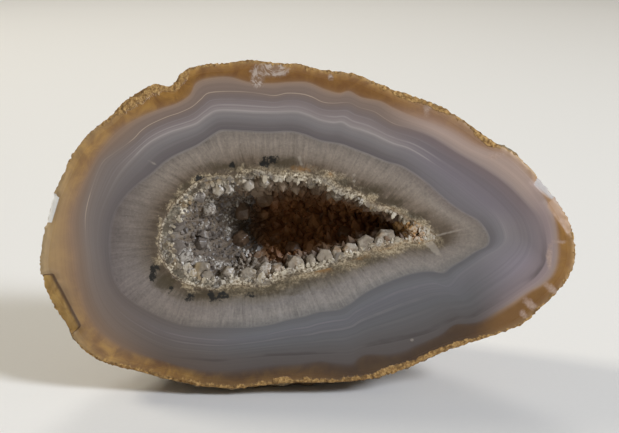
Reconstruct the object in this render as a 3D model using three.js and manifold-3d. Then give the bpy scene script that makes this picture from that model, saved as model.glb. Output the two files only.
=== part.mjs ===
// One half of an agate geode, sawn and polished on one side, with a crystal-lined hollow.
// Millimetres, +Z up, long axis along X, polished face towards -Y and leaning back.
import * as THREE from "three";
import { mergeVertices } from "three/addons/utils/BufferGeometryUtils.js";
import Module from "manifold-3d";

const wasm = await Module();
wasm.setup();

// Stance of the cut face
const LEAN = THREE.MathUtils.degToRad(8); // the face leans back from upright
const FACE_FOOT_Y = -26.6; // where the face plane meets height zero of the face
const FACE_FOOT_Z = 2.5; // the lowest edge of the face hangs this far over the floor

// Stone
const STONE_DEPTH = 50; // from the face plane to the back pole
const STONE_MIDDLE = [-6, 38]; // middle of the outline, on the face
const POLE_DROP = 12; // the back pole lies this much lower than the middle
const SKIN_LUMP = 0.8; // height of the lumps of the rough skin
const SOFT_STEPS = 4; // the notches of the outline fade out behind the face,
const SOFT_REACH = 0.014; // by averaging over this share of the way round on each step
const AROUND = 92; // facets round every ring

// Hollow and its lining
const HOLLOW_MIDDLE = [-2, 42];
const GAP = 0.3; // clearance that stands for a grown-together boundary
const CRUST = 1.9; // thickness of the crystal crust
const CRUST_AT_TIP = 0.4; // and at the narrow right end of the hollow
const CRUST_BUMP = 0.45;

// Cut outline and lip of the hollow, clockwise from the left end, as pairs that face each other:
// outline x, outline height, lip x, lip height, all on the face.
const RIM_PAIRS = [
  [-65.2, 33, -36.5, 35], [-64, 39.5, -36, 38.5], [-62, 47, -35, 42], [-59.5, 52.5, -33, 45.5],
  [-57, 57.5, -31, 47.5], [-53, 62.5, -29, 49.5], [-48, 66.5, -27, 51], [-44, 70.5, -25, 52],
  [-40, 73, -23.5, 52.3], [-36.5, 74.5, -22, 52.5], [-33, 74, -20.5, 52.5], [-30, 77.5, -19, 52.5],
  [-25.5, 79, -17, 53], [-20, 79.5, -15, 54], [-14, 80.2, -12, 54.3], [-8, 79.5, -8.5, 53.3],
  [-2, 79.2, -4, 53.2], [4, 77.8, -0.5, 53], [11, 77, 3.5, 52.5], [16, 75, 6, 51.3],
  [21, 73, 8.5, 49.7], [27, 71, 12, 48.8], [32, 69, 15, 47], [38, 65.5, 19, 45.3],
  [45, 60.5, 22, 43.8], [50, 57.7, 25, 42], [54, 54, 27.5, 40.6], [58, 49.5, 29.5, 39.3],
  [61.5, 45, 30.8, 38.3], [63.8, 41, 31.3, 37.6], [65, 36.5, 31, 37], [65.2, 32, 30, 36.4],
  [64, 28, 28.5, 36], [61.5, 24.5, 27, 35.8], [57, 20, 25, 35.8], [52.5, 16, 23, 35.8],
  [45, 13, 20, 35], [38, 10.8, 16.5, 34], [31, 8, 12.5, 32.5], [25, 5.3, 8.5, 31],
  [20, 3.5, 5, 29.8], [15, 2.3, 1.5, 29], [7, 1.5, -3, 28], [-2, 1.5, -8, 26],
  [-10, 0.8, -12.5, 25], [-18, 0, -17, 25.5], [-26, 0.5, -22.5, 24.3], [-33, 2, -27, 25],
  [-41, 4, -30, 26], [-47, 5.5, -32, 27], [-52, 7.3, -33.5, 28.5], [-56, 10.5, -34.5, 30],
  [-59, 14.8, -35.3, 31.5], [-62, 19.3, -36, 32.7], [-64.3, 24, -36.3, 33.5], [-65.2, 28.5, -36.5, 34.3],
];

// Body behind the face: how far each ring has drawn in, over the top, at the sides and underneath.
const BODY_DEPTHS = [0, 3, 8, 15, 23, 31, 38, 44, 48, 50];
const BODY_OVER = [1, 0.979, 0.945, 0.883, 0.786, 0.657, 0.5, 0.317, 0.16, 0];
const BODY_SIDE = [1, 0.992, 0.968, 0.91, 0.825, 0.705, 0.56, 0.385, 0.2, 0];
const BODY_UNDER = [1, 1.02, 1.042, 1.034, 0.99, 0.895, 0.74, 0.52, 0.29, 0];

// Hollow: steep all round except on the left, where its wall is a long ramp.
const HOLLOW_DEPTHS = [0, 0.8, 4, 8, 13, 19, 25, 30, 32];
const HOLLOW_STEEP = [1, 1, 0.995, 0.98, 0.94, 0.86, 0.7, 0.42, 0];
const HOLLOW_RAMP = [1, 0.96, 0.85, 0.74, 0.63, 0.53, 0.41, 0.24, 0];

// Single crystals on the lining: place round the hollow (0 to 1, clockwise from the left end), how far
// down its wall (0 lip, 1 floor), width across the flats, length out of the crust, lean in degrees.
const CRYSTALS = {
  lower_lip_crystal: [
    [0.646, 0.16, 5.2, 3.2, 6], [0.667, 0.14, 4.0, 2.9, -12], [0.684, 0.12, 3.2, 2.2, 10],
    [0.699, 0.18, 3.4, 2.5, -6], [0.715, 0.13, 3.6, 2.9, 8], [0.732, 0.17, 3.0, 2.1, -10],
    [0.747, 0.13, 3.6, 2.6, 4], [0.763, 0.19, 3.4, 2.2, 12], [0.779, 0.24, 4.4, 3.2, -4],
  ],
  floor_lip_crystal: [
    [0.797, 0.14, 3.6, 2.4, 8], [0.816, 0.2, 3.0, 2.4, -8], [0.835, 0.14, 3.4, 2.2, 10],
    [0.855, 0.2, 3.6, 2.8, -6], [0.876, 0.14, 4.0, 2.6, 6],
  ],
  left_wall_crystal: [
    [0.91, 0.2, 3.4, 2.4, 12], [0.94, 0.34, 3.0, 2.2, -10], [0.97, 0.18, 3.4, 2.2, 8],
    [0.005, 0.36, 2.8, 2.2, 16], [0.03, 0.16, 3.2, 2.4, -8], [0.06, 0.32, 3.2, 2.4, 10],
    [0.085, 0.15, 3.0, 2.2, -12],
  ],
  upper_lip_crystal: [
    [0.125, 0.2, 3.0, 2.2, 10], [0.17, 0.18, 2.6, 2.0, -8], [0.215, 0.2, 2.6, 2.2, 12],
    [0.26, 0.18, 2.8, 2.0, -10], [0.31, 0.2, 2.4, 1.8, 8], [0.355, 0.18, 2.6, 1.8, -12],
    [0.4, 0.2, 2.4, 1.6, 6],
  ],
  deep_crystal: [
    [0.06, 0.6, 4.2, 3.6, 10], [0.2, 0.55, 3.8, 3.2, -12], [0.33, 0.6, 3.6, 3.0, 14],
    [0.68, 0.62, 3.8, 3.2, -10], [0.75, 0.6, 4.0, 3.4, 8], [0.88, 0.58, 3.8, 3.4, -14],
  ],
};
const ROOT_SHARE = 0.55; // share of the crust's thickness that a crystal is rooted in
const TIP_SHARE = 0.55; // share of a crystal's free length that is its pointed end
const SPIN_TURNS = 37; // turns each crystal about its own length by an amount of its own
const SHAVE = 0.35; // crystals end this far behind the polished face
const UP = new THREE.Vector3(0, 0, 1);

// Places on the face (x, height) and behind it, in the frame of the standing stone
function placed(x, depth, height) {
  return new THREE.Vector3(
    x,
    FACE_FOOT_Y + depth * Math.cos(LEAN) + height * Math.sin(LEAN),
    FACE_FOOT_Z - depth * Math.sin(LEAN) + height * Math.cos(LEAN),
  );
}

// A closed smooth curve through one pair of columns of the table
function closedCurve(column) {
  const points = RIM_PAIRS.map((row) => new THREE.Vector3(row[column], row[column + 1], 0));
  return new THREE.CatmullRomCurve3(points, true, "catmullrom", 0.5);
}

const outline = closedCurve(0);
const lip = closedCurve(2);

// A smooth profile through listed values, read at a place from 0 to 1 along the list
function readProfile(values, share) {
  const last = values.length - 1;
  const place = THREE.MathUtils.clamp(share, 0, 1) * last;
  const low = Math.min(Math.floor(place), last - 1);
  return THREE.MathUtils.lerp(values[low], values[low + 1], place - low);
}

// Low rolling lumps of a water-worn nodule
function lump(x, depth, height) {
  const a = Math.sin(0.21 * x + 1.3) * Math.cos(0.17 * height - 0.12 * depth);
  const b = Math.sin(0.11 * x - 0.24 * depth + 2.1) * Math.sin(0.13 * height + 0.5);
  return 0.5 * a + 0.5 * b;
}

// The outline with its small notches rounded away
function softOutline(around) {
  const sum = new THREE.Vector3();
  for (let step = -SOFT_STEPS; step <= SOFT_STEPS; step++) {
    sum.add(outline.getPoint((around + step * SOFT_REACH + 1) % 1));
  }
  return sum.divideScalar(2 * SOFT_STEPS + 1);
}

// A point of the outer skin: around from 0 to 1, back from 0 at the face to 1 at the pole
function skinPoint(around, back) {
  const notchFade = THREE.MathUtils.smoothstep(back, 0, 0.4);
  const edge = outline.getPoint(around).lerp(softOutline(around), notchFade);
  const armX = edge.x - STONE_MIDDLE[0];
  const armUp = edge.y - STONE_MIDDLE[1];
  const slope = (armUp * 1.5) / Math.hypot(armX, armUp * 1.5);
  const over = Math.max(slope, 0) ** 2;
  const under = Math.max(-slope, 0) ** 2;
  const side = 1 - over - under;
  const reach =
    over * readProfile(BODY_OVER, back) +
    side * readProfile(BODY_SIDE, back) +
    under * readProfile(BODY_UNDER, back);
  const depth = readProfile(BODY_DEPTHS, back);
  const sink = POLE_DROP * (depth / STONE_DEPTH) ** 2;
  const x = STONE_MIDDLE[0] + armX * reach;
  const height = STONE_MIDDLE[1] + armUp * reach - sink;
  const swell = 1 + (SKIN_LUMP * lump(x, depth, height) * Math.sin(Math.PI * back)) / 30;
  const point = placed(STONE_MIDDLE[0] + (x - STONE_MIDDLE[0]) * swell, depth * swell, height * swell);
  point.z = Math.max(point.z, 0); // the flat spot it stands on
  return point;
}

// A point of the wall of the hollow: around from 0 to 1, down from 0 at the lip to 1 at its floor
function hollowPoint(around, down) {
  const edge = lip.getPoint(((around % 1) + 1) % 1);
  const armX = edge.x - HOLLOW_MIDDLE[0];
  const armUp = edge.y - HOLLOW_MIDDLE[1];
  const leftness = THREE.MathUtils.smoothstep(-armX / Math.hypot(armX, armUp), 0.2, 0.95);
  const steep = readProfile(HOLLOW_STEEP, down);
  const ramp = readProfile(HOLLOW_RAMP, down);
  const reach = THREE.MathUtils.lerp(steep, ramp, leftness);
  const depth = readProfile(HOLLOW_DEPTHS, down);
  return placed(HOLLOW_MIDDLE[0] + armX * reach, depth, HOLLOW_MIDDLE[1] + armUp * reach);
}

// The direction out of the wall into the hollow
function hollowNormal(around, down) {
  const step = 0.004;
  const nearFloor = Math.min(down, 0.985);
  const along = hollowPoint(around + step, nearFloor).sub(hollowPoint(around - step, nearFloor));
  const above = hollowPoint(around, Math.max(nearFloor - step, 0));
  const inward = hollowPoint(around, nearFloor + step).sub(above);
  return inward.cross(along).normalize();
}

function crustThickness(around) {
  const towardsTip = THREE.MathUtils.smoothstep(lip.getPoint(((around % 1) + 1) % 1).x, 8, 30);
  return THREE.MathUtils.lerp(CRUST, CRUST_AT_TIP, towardsTip);
}

// A closed body from rings of equal length, with a point closing each end that is given one
function bodyFromRings(rings, firstPole, lastPole) {
  const count = rings[0].length;
  const points = rings.flat();
  const faces = [];
  const joined = firstPole ? rings.length - 1 : rings.length;
  for (let ring = 0; ring < joined; ring++) {
    const next = (ring + 1) % rings.length;
    for (let i = 0; i < count; i++) {
      const j = (i + 1) % count;
      const a = ring * count + i;
      const b = ring * count + j;
      const c = next * count + j;
      const d = next * count + i;
      faces.push(a, b, c, a, c, d);
    }
  }
  if (firstPole) {
    points.push(firstPole, lastPole);
    const lastRing = (rings.length - 1) * count;
    for (let i = 0; i < count; i++) {
      const j = (i + 1) % count;
      faces.push(points.length - 2, j, i);
      faces.push(points.length - 1, lastRing + i, lastRing + j);
    }
  }
  const geometry = new THREE.BufferGeometry().setFromPoints(points);
  geometry.setIndex(faces);
  return geometry;
}

function ring(pointAt) {
  return Array.from({ length: AROUND }, (_, i) => pointAt(i / AROUND, i));
}

// Stone: floor and wall of the hollow, flat face, skin rings, back pole
function stoneGeometry() {
  const rings = [];
  const hollowSteps = HOLLOW_DEPTHS.length - 1;
  const bodySteps = BODY_DEPTHS.length - 1;
  for (let step = hollowSteps - 1; step >= 0; step--) {
    rings.push(ring((around) => hollowPoint(around, step / hollowSteps)));
  }
  for (let step = 0; step < bodySteps; step++) {
    rings.push(ring((around) => skinPoint(around, step / bodySteps)));
  }
  return bodyFromRings(rings, hollowPoint(0, 1), skinPoint(0, 1));
}

// Crust: its back lies off the wall by the gap, and its front is rough with small crystals
function druseGeometry() {
  const backRings = [];
  const frontRings = [];
  const steps = HOLLOW_DEPTHS.length - 1;
  for (let step = 1; step < steps; step++) {
    const down = step / steps;
    backRings.push(ring((around) => offWall(around, down, GAP)));
    frontRings.push(
      ring((around, i) => {
        const share = crustThickness(around) / CRUST;
        const bump = (i + step) % 2 ? CRUST_BUMP : -CRUST_BUMP;
        return offWall(around, down, GAP + share * (CRUST + bump));
      }),
    );
  }
  const floor = hollowPoint(0, 1);
  const out = new THREE.Vector3(0, -Math.cos(LEAN), Math.sin(LEAN));
  const backPole = floor.clone().addScaledVector(out, GAP);
  const frontPole = floor.clone().addScaledVector(out, GAP + CRUST);
  return bodyFromRings([...frontRings.reverse(), ...backRings], frontPole, backPole);
}

function offWall(around, down, distance) {
  return hollowPoint(around, down).addScaledVector(hollowNormal(around, down), distance);
}

// One quartz crystal along +Z: six sides, and a point whose faces are by turns large and small
function crystalGeometry([around, , width, freeLength], grow) {
  const radius = (width / 2 + grow) / Math.cos(Math.PI / 6);
  const foot = -ROOT_SHARE * crustThickness(around) - grow;
  const shoulder = freeLength * (1 - TIP_SHARE);
  const tip = new THREE.Vector3(0, 0, freeLength + grow);
  const rings = [[], []];
  for (let i = 0; i < 6; i++) {
    const angle = (i * Math.PI) / 3;
    const x = radius * Math.cos(angle);
    const y = radius * Math.sin(angle);
    const uneven = i % 2 ? 0.16 * freeLength : -0.1 * freeLength;
    rings[0].push(new THREE.Vector3(x, y, foot));
    rings[1].push(new THREE.Vector3(x, y, shoulder + uneven));
  }
  return bodyFromRings(rings, new THREE.Vector3(0, 0, foot), tip);
}

// Where a crystal stands on the crust and which way it points
function crystalMatrix([around, down, , , lean]) {
  const normal = hollowNormal(around, down);
  const base = offWall(around, down, GAP + crustThickness(around));
  const sideways = new THREE.Vector3(1, 0, 0).cross(normal).normalize();
  normal.applyAxisAngle(sideways, THREE.MathUtils.degToRad(lean));
  const spin = new THREE.Quaternion().setFromAxisAngle(UP, around * SPIN_TURNS * 2 * Math.PI);
  const turn = new THREE.Quaternion().setFromUnitVectors(UP, normal).multiply(spin);
  return new THREE.Matrix4().compose(base, turn, new THREE.Vector3(1, 1, 1));
}

// To a manifold-3d solid and back
function solidOf(geometry) {
  const bare = geometry.clone();
  bare.deleteAttribute("normal");
  bare.deleteAttribute("uv");
  const merged = mergeVertices(bare, 1e-4);
  return new wasm.Manifold(
    new wasm.Mesh({
      numProp: 3,
      vertProperties: new Float32Array(merged.getAttribute("position").array),
      triVerts: new Uint32Array(merged.index.array),
    }),
  );
}

function geometryOf(solid) {
  const mesh = solid.getMesh();
  const geometry = new THREE.BufferGeometry();
  geometry.setAttribute("position", new THREE.BufferAttribute(mesh.vertProperties, mesh.numProp));
  geometry.setIndex(new THREE.BufferAttribute(mesh.triVerts, 1));
  return geometry;
}

// What is left of a solid when all that would reach the polished face is ground off
function behindFace(solid) {
  const inward = new THREE.Vector3(0, Math.cos(LEAN), -Math.sin(LEAN));
  return solid.trimByPlane(inward.toArray(), inward.dot(placed(0, SHAVE, 0)));
}

// A solid without the slivers that a cut left loose
function largestBody(solid) {
  return solid.decompose().reduce((best, body) => (body.volume() > best.volume() ? body : best));
}

const geode = new THREE.Group();

function addPiece(name, geometry, colour, roughness) {
  geometry.computeVertexNormals();
  const material = new THREE.MeshStandardMaterial({ color: colour, roughness, metalness: 0 });
  const mesh = new THREE.Mesh(geometry, material);
  mesh.name = name;
  geode.add(mesh);
}

addPiece("agate_stone", stoneGeometry(), 0x8f8078, 0.35);

// A crystal stops growing where it meets one that is there already, and each has a socket in the crust.
let taken = null;
for (const [group, rows] of Object.entries(CRYSTALS)) {
  rows.forEach((row, i) => {
    const matrix = crystalMatrix(row);
    const socket = solidOf(crystalGeometry(row, GAP).applyMatrix4(matrix));
    let crystal = behindFace(solidOf(crystalGeometry(row, 0).applyMatrix4(matrix)));
    if (taken) crystal = largestBody(crystal.subtract(taken));
    taken = taken ? taken.add(socket) : socket;
    addPiece(`${group}_${i + 1}`, geometryOf(crystal), 0xcfc8bc, 0.12);
  });
}
const druse = largestBody(solidOf(druseGeometry()).subtract(taken));
addPiece("quartz_druse", geometryOf(druse), 0xa89c8c, 0.3);

export default geode;
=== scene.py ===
import math
from itertools import product

import bpy
import numpy as np
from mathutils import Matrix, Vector


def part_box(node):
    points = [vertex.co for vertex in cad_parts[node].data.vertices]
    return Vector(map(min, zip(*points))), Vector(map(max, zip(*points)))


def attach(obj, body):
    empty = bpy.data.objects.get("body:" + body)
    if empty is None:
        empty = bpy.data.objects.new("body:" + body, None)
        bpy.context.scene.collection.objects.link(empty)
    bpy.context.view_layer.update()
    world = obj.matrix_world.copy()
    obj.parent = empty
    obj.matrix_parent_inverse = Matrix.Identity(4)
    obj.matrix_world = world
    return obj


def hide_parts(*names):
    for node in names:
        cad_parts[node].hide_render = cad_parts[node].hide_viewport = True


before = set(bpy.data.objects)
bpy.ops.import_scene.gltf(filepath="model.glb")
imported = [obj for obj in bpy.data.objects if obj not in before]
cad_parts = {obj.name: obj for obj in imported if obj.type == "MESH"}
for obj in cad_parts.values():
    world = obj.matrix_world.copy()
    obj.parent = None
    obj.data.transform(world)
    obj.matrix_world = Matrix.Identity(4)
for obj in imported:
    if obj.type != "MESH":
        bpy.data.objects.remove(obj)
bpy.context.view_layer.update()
bpy.ops.object.select_all(action="DESELECT")
bpy.context.scene.view_settings.view_transform = "Standard"

mm = 0.001
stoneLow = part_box("agate_stone")[0]
stance = {
    "lean": math.radians(8),     # the face leans back from upright
    "footY": stoneLow.y / mm,    # the plane of the face at height zero
    "footZ": 2.5,                # the lowest edge of the face hangs this far over the floor
}

# cut outline and lip of the hollow in pairs that face each other, clockwise from the left end, mm on the face
rimPairs = [
    (-65.2, 33, -36.5, 35), (-64, 39.5, -36, 38.5), (-62, 47, -35, 42), (-59.5, 52.5, -33, 45.5),
    (-57, 57.5, -31, 47.5), (-53, 62.5, -29, 49.5), (-48, 66.5, -27, 51), (-44, 70.5, -25, 52),
    (-40, 73, -23.5, 52.3), (-36.5, 74.5, -22, 52.5), (-33, 74, -20.5, 52.5), (-30, 77.5, -19, 52.5),
    (-25.5, 79, -17, 53), (-20, 79.5, -15, 54), (-14, 80.2, -12, 54.3), (-8, 79.5, -8.5, 53.3),
    (-2, 79.2, -4, 53.2), (4, 77.8, -0.5, 53), (11, 77, 3.5, 52.5), (16, 75, 6, 51.3),
    (21, 73, 8.5, 49.7), (27, 71, 12, 48.8), (32, 69, 15, 47), (38, 65.5, 19, 45.3),
    (45, 60.5, 22, 43.8), (50, 57.7, 25, 42), (54, 54, 27.5, 40.6), (58, 49.5, 29.5, 39.3),
    (61.5, 45, 30.8, 38.3), (63.8, 41, 31.3, 37.6), (65, 36.5, 31, 37), (65.2, 32, 30, 36.4),
    (64, 28, 28.5, 36), (61.5, 24.5, 27, 35.8), (57, 20, 25, 35.8), (52.5, 16, 23, 35.8),
    (45, 13, 20, 35), (38, 10.8, 16.5, 34), (31, 8, 12.5, 32.5), (25, 5.3, 8.5, 31),
    (20, 3.5, 5, 29.8), (15, 2.3, 1.5, 29), (7, 1.5, -3, 28), (-2, 1.5, -8, 26),
    (-10, 0.8, -12.5, 25), (-18, 0, -17, 25.5), (-26, 0.5, -22.5, 24.3), (-33, 2, -27, 25),
    (-41, 4, -30, 26), (-47, 5.5, -32, 27), (-52, 7.3, -33.5, 28.5), (-56, 10.5, -34.5, 30),
    (-59, 14.8, -35.3, 31.5), (-62, 19.3, -36, 32.7), (-64.3, 24, -36.3, 33.5), (-65.2, 28.5, -36.5, 34.3),
]

# the growth lines that the colours follow, from the rind inwards (mm on the face, clockwise from the left)
growthLines = {
    "rindInside": [
        (-57.3, 33), (-57.8, 38), (-57.5, 43), (-55.5, 49), (-53, 54), (-50, 59), (-46, 63.5), (-41, 66.5),
        (-36, 68.5), (-31.5, 70), (-28.5, 72), (-27, 74.8), (-24, 76), (-19, 76.3), (-14, 75), (-9, 74.8),
        (-4, 75.1), (0, 75), (4, 73.4), (7.5, 72.4), (10, 72.9), (13, 71.4), (17.5, 70.5), (20.5, 69),
        (25, 67), (30, 65.2), (35, 63), (40, 60), (43.5, 58.6), (47, 57.3), (51, 54.3), (55, 50.3),
        (58.5, 45), (60.2, 40.5), (60.8, 36), (60.8, 32), (59.8, 28.5), (57.5, 26), (54, 24), (50.5, 21.5),
        (46.5, 19), (42.5, 16.6), (39.5, 15.8), (36, 15.6), (33, 13.2), (29.5, 11.4), (26.5, 10), (24, 8.6),
        (20, 7.8), (15, 8), (12.8, 7.2), (11, 5.4), (7, 5.6), (3, 6.3), (-2, 5.5), (-8, 5.1), (-14, 4.2),
        (-20, 3.6), (-26, 3.8), (-31, 5), (-36, 6.6), (-41, 8), (-46, 10), (-50, 12.5), (-53, 16),
        (-55, 20), (-56.3, 25), (-57, 29),
    ],
    "hairline": [
        (-53.5, 33), (-54, 38), (-54, 43), (-52.5, 49), (-50, 55.2), (-47.3, 57.6), (-44.5, 59.5),
        (-42, 61.4), (-40.3, 63.2), (-38, 64.8), (-34, 66.6), (-31, 67.6), (-28, 69), (-25.8, 70.8),
        (-24, 72.3), (-20, 72.7), (-15, 72.6), (-11, 72.1), (-8, 71.7), (-5, 72.3), (-1.5, 72.1), (1, 71.4),
        (3.5, 70.2), (6, 69.9), (10, 70), (12.5, 68.9), (16, 67.9), (18.5, 66.3), (21, 64.9), (25, 63.8),
        (29, 62.4), (32, 60.8), (36, 58.3), (40, 56), (44.5, 53.3), (49, 50), (53, 46), (56, 42.5),
        (57.5, 38.5), (58, 34.5), (57.5, 31), (55.5, 28), (53, 25.8), (50, 23.7), (47, 21.7), (43.5, 19.5),
        (40, 17.6), (37, 17.4), (34.5, 16.3), (31, 14.5), (27, 13.2), (22, 12), (17, 11), (13, 10),
        (10.5, 9), (6, 8.9), (0, 8.6), (-5, 8.4), (-10, 8.2), (-16, 7.6), (-22, 7), (-28, 7.3), (-34, 8),
        (-39, 10), (-44, 12.8), (-48, 16), (-51, 20.5), (-52.7, 26),
    ],
    "paleLine": [
        (-50.8, 33), (-51, 38), (-50.3, 43), (-48.3, 48), (-45.6, 52.8), (-42, 57), (-38.5, 60.3),
        (-34, 62.7), (-30, 64), (-27, 65), (-24.5, 66.8), (-22, 68.1), (-18, 68.2), (-13, 67.9), (-8, 67.8),
        (-3, 67.9), (0, 67.1), (3, 65.9), (6, 65.3), (8.3, 65.4), (10.3, 64.3), (13, 63.5), (16, 62.4),
        (18.5, 61.2), (21, 60.1), (24, 59.2), (27, 57.6), (31, 55), (35, 52.3), (39, 49.2), (42.5, 46.3),
        (45.5, 43.3), (47.6, 40), (48.2, 36.8), (46.5, 34.6), (43.5, 32.8), (40, 30.4), (36.8, 28),
        (34.3, 25.4), (31, 26.1), (28, 25.7), (25, 24.9), (21.5, 23.9), (18, 22.3), (14.5, 20.6),
        (11.5, 19), (9.5, 17.4), (6, 16.8), (2.5, 16.1), (0, 15.3), (-3.5, 14.8), (-7, 14.1), (-11, 13.2),
        (-16, 12.5), (-21, 12.1), (-26, 12.4), (-31, 13.1), (-36, 14.5), (-40, 16.6), (-44, 19.2),
        (-47.3, 22.5), (-49.6, 27),
    ],
    "quartzEdge": [
        (-48.4, 33), (-48.3, 38), (-47.2, 43), (-44.8, 47), (-41.5, 50.2), (-38, 52.8), (-35, 55.4),
        (-32.5, 57), (-30, 58.2), (-27, 59.6), (-24.5, 61.2), (-22.3, 62.7), (-20.5, 63.4), (-16, 63.3),
        (-10, 62.9), (-4.5, 63.1), (-1, 62.4), (3, 60.9), (8, 60), (11, 58.9), (15, 57.4), (19, 55.8),
        (22.5, 54.8), (26, 52.8), (29, 50.6), (32, 47.9), (35, 45.4), (38, 43.4), (41, 41.8), (43, 39.7),
        (44.2, 37.2), (43.6, 35.2), (41, 33.8), (38, 31.8), (35, 30), (33, 28.6), (29.5, 29), (25.5, 28.4),
        (21, 26.9), (17, 25.2), (13.5, 23.2), (10.5, 20.9), (7.5, 19.4), (3, 18.9), (-1, 17.7), (-5, 16.9),
        (-9, 15.8), (-14, 15.1), (-20, 15), (-26, 15), (-31, 15.6), (-35.5, 17.2), (-39.5, 19.2),
        (-43, 21.3), (-46, 24), (-47.8, 28),
    ],
}


# shape of the stone, in mm: x and height on the face, depth behind it
body = {
    "middle": (-6, 38), "depth": 50, "poleDrop": 12, "lump": 0.8,
    "softSteps": 4, "softReach": 0.014,
    "depths": [0, 3, 8, 15, 23, 31, 38, 44, 48, 50],
    "over": [1, 0.979, 0.945, 0.883, 0.786, 0.657, 0.5, 0.317, 0.16, 0],
    "side": [1, 0.992, 0.968, 0.91, 0.825, 0.705, 0.56, 0.385, 0.2, 0],
    "under": [1, 1.02, 1.042, 1.034, 0.99, 0.895, 0.74, 0.52, 0.29, 0],
}

hollow = {
    "middle": (-2, 42),
    "depths": [0, 0.8, 4, 8, 13, 19, 25, 30, 32],
    "steep": [1, 1, 0.995, 0.98, 0.94, 0.86, 0.7, 0.42, 0],
    "ramp": [1, 0.96, 0.85, 0.74, 0.63, 0.53, 0.41, 0.24, 0],
    "crust": 1.9, "crustAtTip": 0.4, "gap": 0.3,
}


def placed(x, depth, height):
    x, depth, height = np.broadcast_arrays(x, depth, height)
    y = stance["footY"] + depth * math.cos(stance["lean"]) + height * math.sin(stance["lean"])
    z = stance["footZ"] - depth * math.sin(stance["lean"]) + height * math.cos(stance["lean"])
    return np.stack([x, y, z], axis=-1)


def closedCurve(points, share):
    points = np.asarray(points, float)
    count = len(points)
    place = (np.asarray(share, float) % 1) * count
    low = np.floor(place).astype(int)
    f = (place - low)[..., None]
    a, b, c, d = (points[(low + k) % count] for k in (-1, 0, 1, 2))
    bend = (2 * a - 5 * b + 4 * c - d) * f ** 2 + (3 * b - a - 3 * c + d) * f ** 3
    return 0.5 * (2 * b + (c - a) * f + bend)


def smoothStep(value, low, high):
    t = np.clip((value - low) / (high - low), 0, 1)
    return t * t * (3 - 2 * t)


def readProfile(values, share):
    values = np.asarray(values, float)
    last = len(values) - 1
    place = np.clip(share, 0, 1) * last
    low = np.minimum(np.floor(place).astype(int), last - 1)
    return values[low] + (values[low + 1] - values[low]) * (place - low)


def lumps(x, depth, height):
    a = np.sin(0.21 * x + 1.3) * np.cos(0.17 * height - 0.12 * depth)
    b = np.sin(0.11 * x - 0.24 * depth + 2.1) * np.sin(0.13 * height + 0.5)
    return 0.5 * a + 0.5 * b


outlinePoints = [row[:2] for row in rimPairs]
lipPoints = [row[2:] for row in rimPairs]


def softOutline(around):
    steps = range(-body["softSteps"], body["softSteps"] + 1)
    return sum(closedCurve(outlinePoints, around + k * body["softReach"]) for k in steps) / len(steps)


def skinPoint(around, back, recess=0):
    fade = smoothStep(back, 0, 0.4)[..., None]
    edge = closedCurve(outlinePoints, around) * (1 - fade) + softOutline(around) * fade
    arm = edge - np.array(body["middle"])
    slope = arm[..., 1] * 1.5 / np.hypot(arm[..., 0], arm[..., 1] * 1.5)
    over = np.maximum(slope, 0) ** 2
    under = np.maximum(-slope, 0) ** 2
    reach = over * readProfile(body["over"], back) + under * readProfile(body["under"], back)
    reach = reach + (1 - over - under) * readProfile(body["side"], back)
    depth = readProfile(body["depths"], back)
    x = body["middle"][0] + arm[..., 0] * reach
    height = body["middle"][1] + arm[..., 1] * reach - body["poleDrop"] * (depth / body["depth"]) ** 2
    swell = 1 + body["lump"] * lumps(x, depth, height) * np.sin(np.pi * back) / 30
    depth = depth + recess * np.clip(1 - back / 0.12, 0, 1)
    return placed(body["middle"][0] + (x - body["middle"][0]) * swell, depth * swell, height * swell)


def hollowPoint(around, down):
    arm = closedCurve(lipPoints, around) - np.array(hollow["middle"])
    leftness = smoothStep(-arm[..., 0] / np.hypot(arm[..., 0], arm[..., 1]), 0.2, 0.95)
    steep = readProfile(hollow["steep"], down)
    ramp = readProfile(hollow["ramp"], down)
    reach = steep + (ramp - steep) * leftness
    x = hollow["middle"][0] + arm[..., 0] * reach
    height = hollow["middle"][1] + arm[..., 1] * reach
    return placed(x, readProfile(hollow["depths"], down), height)


def hollowNormal(around, down):
    step = 0.004
    near = np.minimum(down, 0.985)
    along = hollowPoint(around + step, near) - hollowPoint(around - step, near)
    inward = hollowPoint(around, near + step) - hollowPoint(around, np.maximum(near - step, 0))
    normal = np.cross(inward, along)
    return normal / np.linalg.norm(normal, axis=-1, keepdims=True)


def crustThickness(around):
    t = smoothStep(closedCurve(lipPoints, around)[..., 0], 8, 30)
    return hollow["crust"] + (hollow["crustAtTip"] - hollow["crust"]) * t


def offWall(around, down, distance):
    distance = np.broadcast_to(distance, np.shape(around))[..., None]
    return hollowPoint(around, down) + hollowNormal(around, down) * distance


def sheetObject(name, columns, rows):
    bpy.ops.mesh.primitive_grid_add(x_subdivisions=columns, y_subdivisions=rows, size=1)
    sheet = bpy.context.object
    sheet.name = name
    sheet.data.name = name
    flat = readPlaces(sheet) * mm
    column = np.rint((flat[:, 0] + 0.5) * columns).astype(int)
    row = np.rint((flat[:, 1] + 0.5) * rows).astype(int)
    return sheet, column, row


def setPlaces(obj, points):
    obj.data.vertices.foreach_set("co", (np.asarray(points) * mm).ravel())
    obj.data.update()


def readPlaces(obj):
    flat = np.zeros(len(obj.data.vertices) * 3)
    obj.data.vertices.foreach_get("co", flat)
    return flat.reshape(-1, 3) / mm


def pickOnly(obj):
    bpy.ops.object.select_all(action="DESELECT")
    obj.select_set(True)
    bpy.context.view_layer.objects.active = obj


def addAttribute(obj, name, kind, values):
    layer = obj.data.attributes.new(name, kind, "POINT")
    field = {"FLOAT": "value", "FLOAT_VECTOR": "vector", "FLOAT_COLOR": "color"}[kind]
    layer.data.foreach_set(field, np.asarray(values, float).ravel())


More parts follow.
